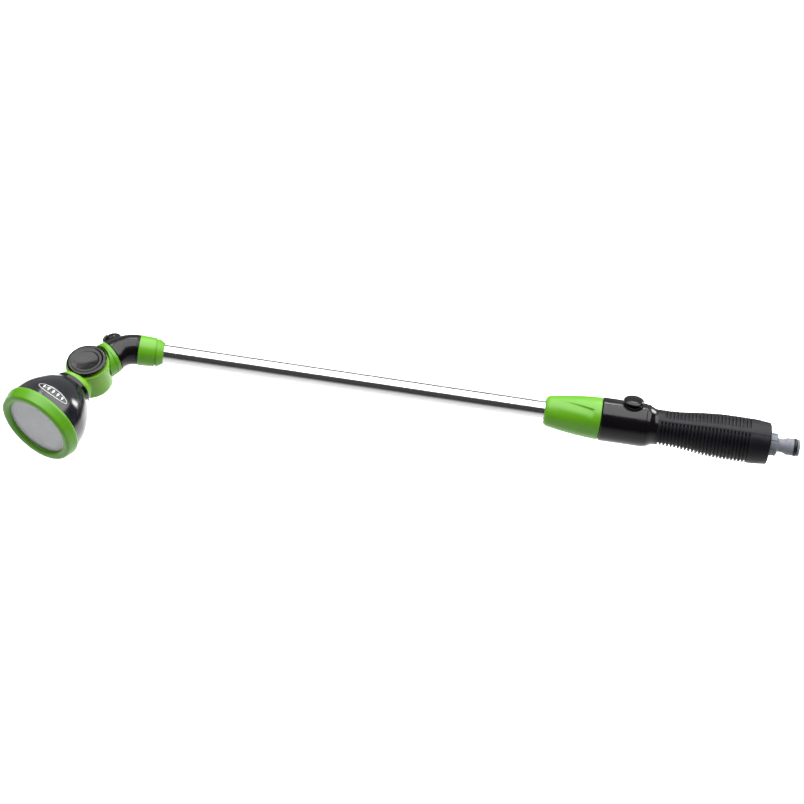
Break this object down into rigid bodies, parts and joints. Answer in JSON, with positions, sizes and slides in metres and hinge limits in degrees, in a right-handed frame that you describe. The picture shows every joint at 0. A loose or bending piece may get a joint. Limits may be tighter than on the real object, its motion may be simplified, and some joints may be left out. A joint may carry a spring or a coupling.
{
  "type": "watering wand",
  "caption": "Long garden watering wand with a ribbed grip, thumb valve, straight tube, bent elbow and a tilting, swivelling shower rose.",
  "frame": {"origin": "middle of the hose connector's end face, on the tube's axis", "axes": "+X along the tube towards the hose, +Z towards the thumb knob, the rose turned down towards -Y"},
  "size_m": [0.8006, 0.1471, 0.1169],
  "materials": {
    "lime_plastic": "smooth moulded lime green, softly glossy",
    "pale_lime_plastic": "smooth moulded pale lime green, softly glossy",
    "black_gloss": "glossy moulded black",
    "anthracite_gloss": "glossy moulded anthracite",
    "grip_rubber": "satin soft black grip",
    "seal_rubber": "matt black seal rubber",
    "grey_plastic": "satin moulded grey",
    "pearl_plastic": "satin pearl grey",
    "white_plastic": "plain off-white engineering plastic",
    "polished_aluminium": "polished and clear anodised, drawn lengthwise",
    "brass": "machined brass",
    "spring_steel": "drawn spring wire"
  },
  "bodies": {
    "wand": {"hose_connector": "grey_plastic", "connector_o_ring": "seal_rubber", "connector_washer": "seal_rubber", "grip_sleeve": "grip_rubber", "handle_body": "black_gloss", "valve_seat_rear": "white_plastic", "valve_seat_front": "white_plastic", "spindle_seal": "seal_rubber", "valve_bonnet": "black_gloss", "sleeve_nut": "lime_plastic", "tube_collet": "white_plastic", "tube_seal": "seal_rubber", "tube": "polished_aluminium", "elbow_nut": "lime_plastic", "elbow_ferrule": "white_plastic", "elbow_seal": "seal_rubber", "elbow": "black_gloss", "latch_spring": "spring_steel"},
    "valve": {"valve_ball": "brass", "spindle": "brass", "flow_knob": "black_gloss"},
    "latch": {"latch_button": "black_gloss"},
    "swivel": {"swivel_collar": "lime_plastic", "swivel_seal": "seal_rubber", "swivel_clip": "spring_steel", "pivot_core": "white_plastic", "pivot_seal_upper": "seal_rubber", "pivot_seal_lower": "seal_rubber", "tilt_spring": "spring_steel"},
    "button": {"tilt_button": "black_gloss"},
    "head": {"pivot_barrel": "pale_lime_plastic", "neck_ring": "black_gloss", "bell_seal": "seal_rubber", "bell": "anthracite_gloss", "bell_nut": "white_plastic", "rose_gasket": "seal_rubber", "rose_plate": "pearl_plastic", "bezel": "lime_plastic"}
  },
  "joints": [
    {"name": "flow_valve", "type": "hinge", "parent": "wand", "child": "valve", "pos_m": [-0.174, 0, 0], "axis": [0, 0, 1], "range_deg": [0, 90]},
    {"name": "latch_press", "type": "slide", "parent": "wand", "child": "latch", "axis": [0.7193, -0.6016, -0.3473], "range_m": [0, 0.002], "stiffness_N_per_m": 600, "deforming": ["latch_spring"]},
    {"name": "head_swivel", "type": "hinge", "parent": "wand", "child": "swivel", "pos_m": [-0.692, 0, 0], "axis": [-0.6947, -0.623, -0.3597], "continuous": true},
    {"name": "head_tilt", "type": "hinge", "parent": "swivel", "child": "head", "pos_m": [-0.72389, -0.02859, -0.01651], "axis": [-0.1862, -0.3273, 0.9264], "range_deg": [-17.5, 17.5]},
    {"name": "tilt_press", "type": "slide", "parent": "swivel", "child": "button", "axis": [0.1862, 0.3273, -0.9264], "range_m": [0, 0.0025], "stiffness_N_per_m": 800, "deforming": ["tilt_spring"]}
  ]
}
